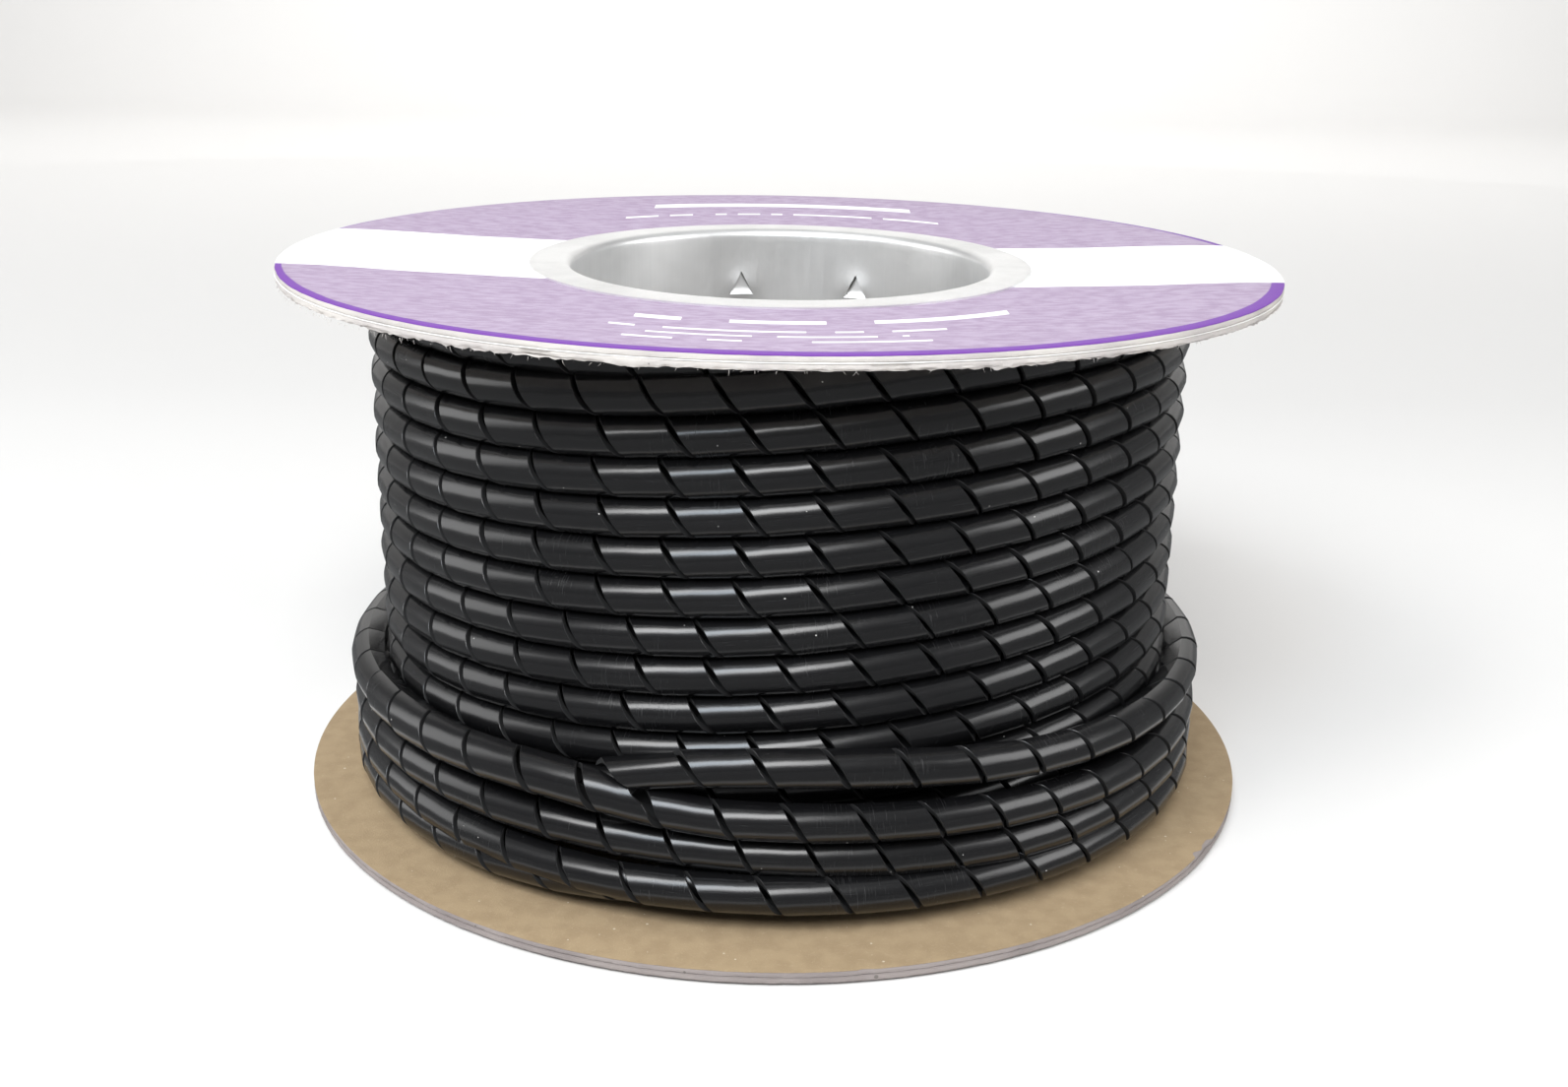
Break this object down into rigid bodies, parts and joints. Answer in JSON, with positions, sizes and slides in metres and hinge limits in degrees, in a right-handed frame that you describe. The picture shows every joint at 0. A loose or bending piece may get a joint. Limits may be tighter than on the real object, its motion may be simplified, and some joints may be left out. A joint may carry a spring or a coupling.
{
  "type": "cable wrap spool",
  "caption": "Paperboard spool with flared metal sleeves in its bore, wound with layers of black spiral-cut cable wrap.",
  "frame": {"origin": "on the spool's axis, at the outer face of the lower sleeve's lip, which the spool stands on", "axes": "+Z along the spool's axis, from the lower flange to the labelled upper flange; -Y is the side where the wrap's free end is tucked in"},
  "size_m": [0.1778, 0.1778, 0.0971],
  "materials": {
    "sleeve_metal": "tin-plated sheet, satin, with fine draw marks down the bore",
    "chipboard": "matte grey board with a fibrous cut edge",
    "liner_paper": "matte white",
    "kraft_paper": "matte kraft brown with fibre specks",
    "printed_label": "lavender print with a white band across the middle",
    "black_polyethylene": "semi-gloss black with fine lengthwise scratches"
  },
  "bodies": {
    "root": {"hub_upper_sleeve": "sleeve_metal", "hub_lower_sleeve": "sleeve_metal", "core_tube": "chipboard", "lower_flange_outer_ply": "chipboard", "lower_flange_liner": "liner_paper", "lower_flange_inner_ply": "chipboard", "lower_flange_facing": "kraft_paper", "upper_flange_facing": "kraft_paper", "upper_flange_inner_ply": "chipboard", "upper_flange_liner": "liner_paper", "upper_flange_outer_ply": "chipboard", "flange_label": "printed_label", "cable_wrap_layers": "black_polyethylene", "cable_wrap_outer_turns": "black_polyethylene"}
  },
  "joints": []
}
